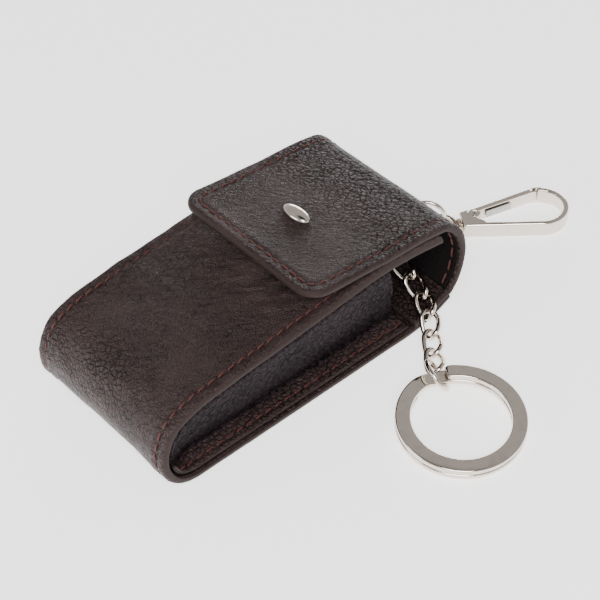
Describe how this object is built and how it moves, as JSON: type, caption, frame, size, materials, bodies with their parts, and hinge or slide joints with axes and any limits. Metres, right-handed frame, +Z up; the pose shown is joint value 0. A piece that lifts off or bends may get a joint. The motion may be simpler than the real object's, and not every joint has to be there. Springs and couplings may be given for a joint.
{
  "type": "leather keychain",
  "caption": "Small leather snap pouch lying flat, with a curb chain through an eyelet in its spine that ends in a snap hook outside and a split key ring at the open side.",
  "frame": {"origin": "on the flat underside of the back panel, midway across the pouch's width", "axes": "+Z up out of the surface the keychain lies on; +Y along the pouch from its closed toe towards the spine and the snap hook; +X across the pouch towards the split ring"},
  "size_m": [0.0971, 0.1445, 0.0353],
  "materials": {
    "grain_leather": "dark brown pebbled leather",
    "wall_leather": "dark brown smooth leather",
    "lining_leather": "near-black lining leather",
    "nickel": "polished nickel plate",
    "plain_steel": "plain steel"
  },
  "bodies": {
    "pouch": {"body_wrap": "grain_leather", "body_lining": "lining_leather", "right_gusset": "wall_leather", "left_gusset": "wall_leather", "strap_foot": "grain_leather", "snap_socket": "nickel", "snap_magnet": "plain_steel", "snap_socket_washer": "plain_steel"},
    "spine": {"spine_leather": "grain_leather", "spine_lining": "lining_leather", "spine_eyelet": "nickel", "eyelet_washer": "plain_steel"},
    "flap": {"flap_leather": "grain_leather", "flap_lining": "lining_leather", "snap_stud": "nickel", "snap_stud_washer": "plain_steel", "ornament": "nickel", "ornament_washer": "plain_steel"},
    "chain_link_03": {"chain_link_03": "nickel"},
    "chain_link_04": {"chain_link_04": "nickel"},
    "chain_link_05": {"chain_link_05": "nickel"},
    "chain_link_06": {"chain_link_06": "nickel"},
    "chain_link_07": {"chain_link_07": "nickel"},
    "chain_link_08": {"chain_link_08": "nickel"},
    "chain_link_09": {"chain_link_09": "nickel"},
    "chain_link_10": {"chain_link_10": "nickel"},
    "chain_link_11": {"chain_link_11": "nickel"},
    "chain_link_02": {"chain_link_02": "nickel"},
    "chain_link_01": {"chain_link_01": "nickel"},
    "end_ring": {"end_ring": "nickel"},
    "split_ring": {"split_ring": "nickel"},
    "hook_ring": {"hook_ring": "nickel"},
    "swivel_eye": {"swivel_eye": "nickel"},
    "snap_hook": {"hook_body": "nickel"},
    "gate": {"hook_gate": "nickel", "gate_pin": "nickel", "gate_spring": "plain_steel"}
  },
  "joints": [
    {"name": "spine_fold", "type": "hinge", "parent": "pouch", "child": "spine", "pos_m": [0, 0.04772, 0.0056], "axis": [-1, 0, 0], "range_deg": [0, 30]},
    {"name": "flap_fold", "type": "hinge", "parent": "spine", "child": "flap", "pos_m": [0, 0.04942, 0.02819], "axis": [-1, 0, 0], "range_deg": [0, 150]},
    {"name": "chain_slide", "type": "slide", "parent": "spine", "child": "chain_link_03", "axis": [0, 0.9521, -0.3059], "range_m": [-0.0008, 0.0001]},
    {"name": "link_04_swing", "type": "hinge", "parent": "chain_link_03", "child": "chain_link_04", "pos_m": [0.00113, 0.04827, 0.01397], "axis": [-0.4577, -0.4592, 0.7614], "range_deg": [-1, 1]},
    {"name": "link_05_swing", "type": "hinge", "parent": "chain_link_04", "child": "chain_link_05", "pos_m": [0.00523, 0.04403, 0.01387], "axis": [0.4275, 0.6504, 0.6279], "range_deg": [-8, 1]},
    {"name": "link_06_swing", "type": "hinge", "parent": "chain_link_05", "child": "chain_link_06", "pos_m": [0.01057, 0.0422, 0.01214], "axis": [-0.371, 0.6871, -0.6247], "range_deg": [-8, 3]},
    {"name": "link_07_swing", "type": "hinge", "parent": "chain_link_06", "child": "chain_link_07", "pos_m": [0.01576, 0.04247, 0.00936], "axis": [-0.3669, -0.7801, -0.5068], "range_deg": [-2, 10]},
    {"name": "link_08_swing", "type": "hinge", "parent": "chain_link_07", "child": "chain_link_08", "pos_m": [0.02107, 0.04153, 0.00695], "axis": [-0.0166, -0.4417, 0.897], "range_deg": [-12, 12]},
    {"name": "link_09_swing", "type": "hinge", "parent": "chain_link_08", "child": "chain_link_09", "pos_m": [0.02627, 0.039, 0.0058], "axis": [0.6387, 0.727, 0.252], "range_deg": [-12, 12]},
    {"name": "link_10_swing", "type": "hinge", "parent": "chain_link_09", "child": "chain_link_10", "pos_m": [0.0308, 0.03558, 0.00417], "axis": [-0.0021, 0.1979, -0.9802], "range_deg": [-12, 12]},
    {"name": "link_11_swing", "type": "hinge", "parent": "chain_link_10", "child": "chain_link_11", "pos_m": [0.03528, 0.03182, 0.0034], "axis": [-0.6421, -0.7653, -0.0448], "range_deg": [-14, 14]},
    {"name": "link_02_swing", "type": "hinge", "parent": "chain_link_03", "child": "chain_link_02", "pos_m": [-0.00113, 0.05337, 0.01205], "axis": [-0.7884, 0.096, 0.6076], "range_deg": [-12, 12]},
    {"name": "link_01_swing", "type": "hinge", "parent": "chain_link_02", "child": "chain_link_01", "pos_m": [-0.00279, 0.05823, 0.00913], "axis": [0.5697, 0.6782, 0.4642], "range_deg": [-14, 14]},
    {"name": "end_ring_swing", "type": "hinge", "parent": "chain_link_11", "child": "end_ring", "pos_m": [0.0398, 0.02803, 0.0034], "axis": [-0.5566, -0.2995, 0.7749], "range_deg": [-22, 22]},
    {"name": "split_ring_swing", "type": "hinge", "parent": "end_ring", "child": "split_ring", "pos_m": [0.04289, 0.02571, 0.00499], "axis": [0.3518, 0.9361, 0], "range_deg": [-22, 22]},
    {"name": "hook_ring_swing", "type": "hinge", "parent": "chain_link_01", "child": "hook_ring", "pos_m": [-0.00503, 0.06247, 0.00569], "axis": [-0.0282, -0.2182, -0.9755], "range_deg": [-20, 20]},
    {"name": "swivel_eye_swing", "type": "hinge", "parent": "hook_ring", "child": "swivel_eye", "pos_m": [0.00213, 0.06674, 0.0023], "axis": [-0.8788, 0.4772, 0], "range_deg": [-6, 20]},
    {"name": "hook_swivel", "type": "hinge", "parent": "swivel_eye", "child": "snap_hook", "pos_m": [0.00521, 0.07241, 0.0023], "axis": [0.4772, 0.8788, 0], "continuous": true},
    {"name": "gate_pivot", "type": "hinge", "parent": "snap_hook", "child": "gate", "pos_m": [0.00519, 0.07674, 0.0023], "axis": [0, 0, -1], "range_deg": [0, 26], "stiffness_Nm_per_rad": 0.002}
  ]
}
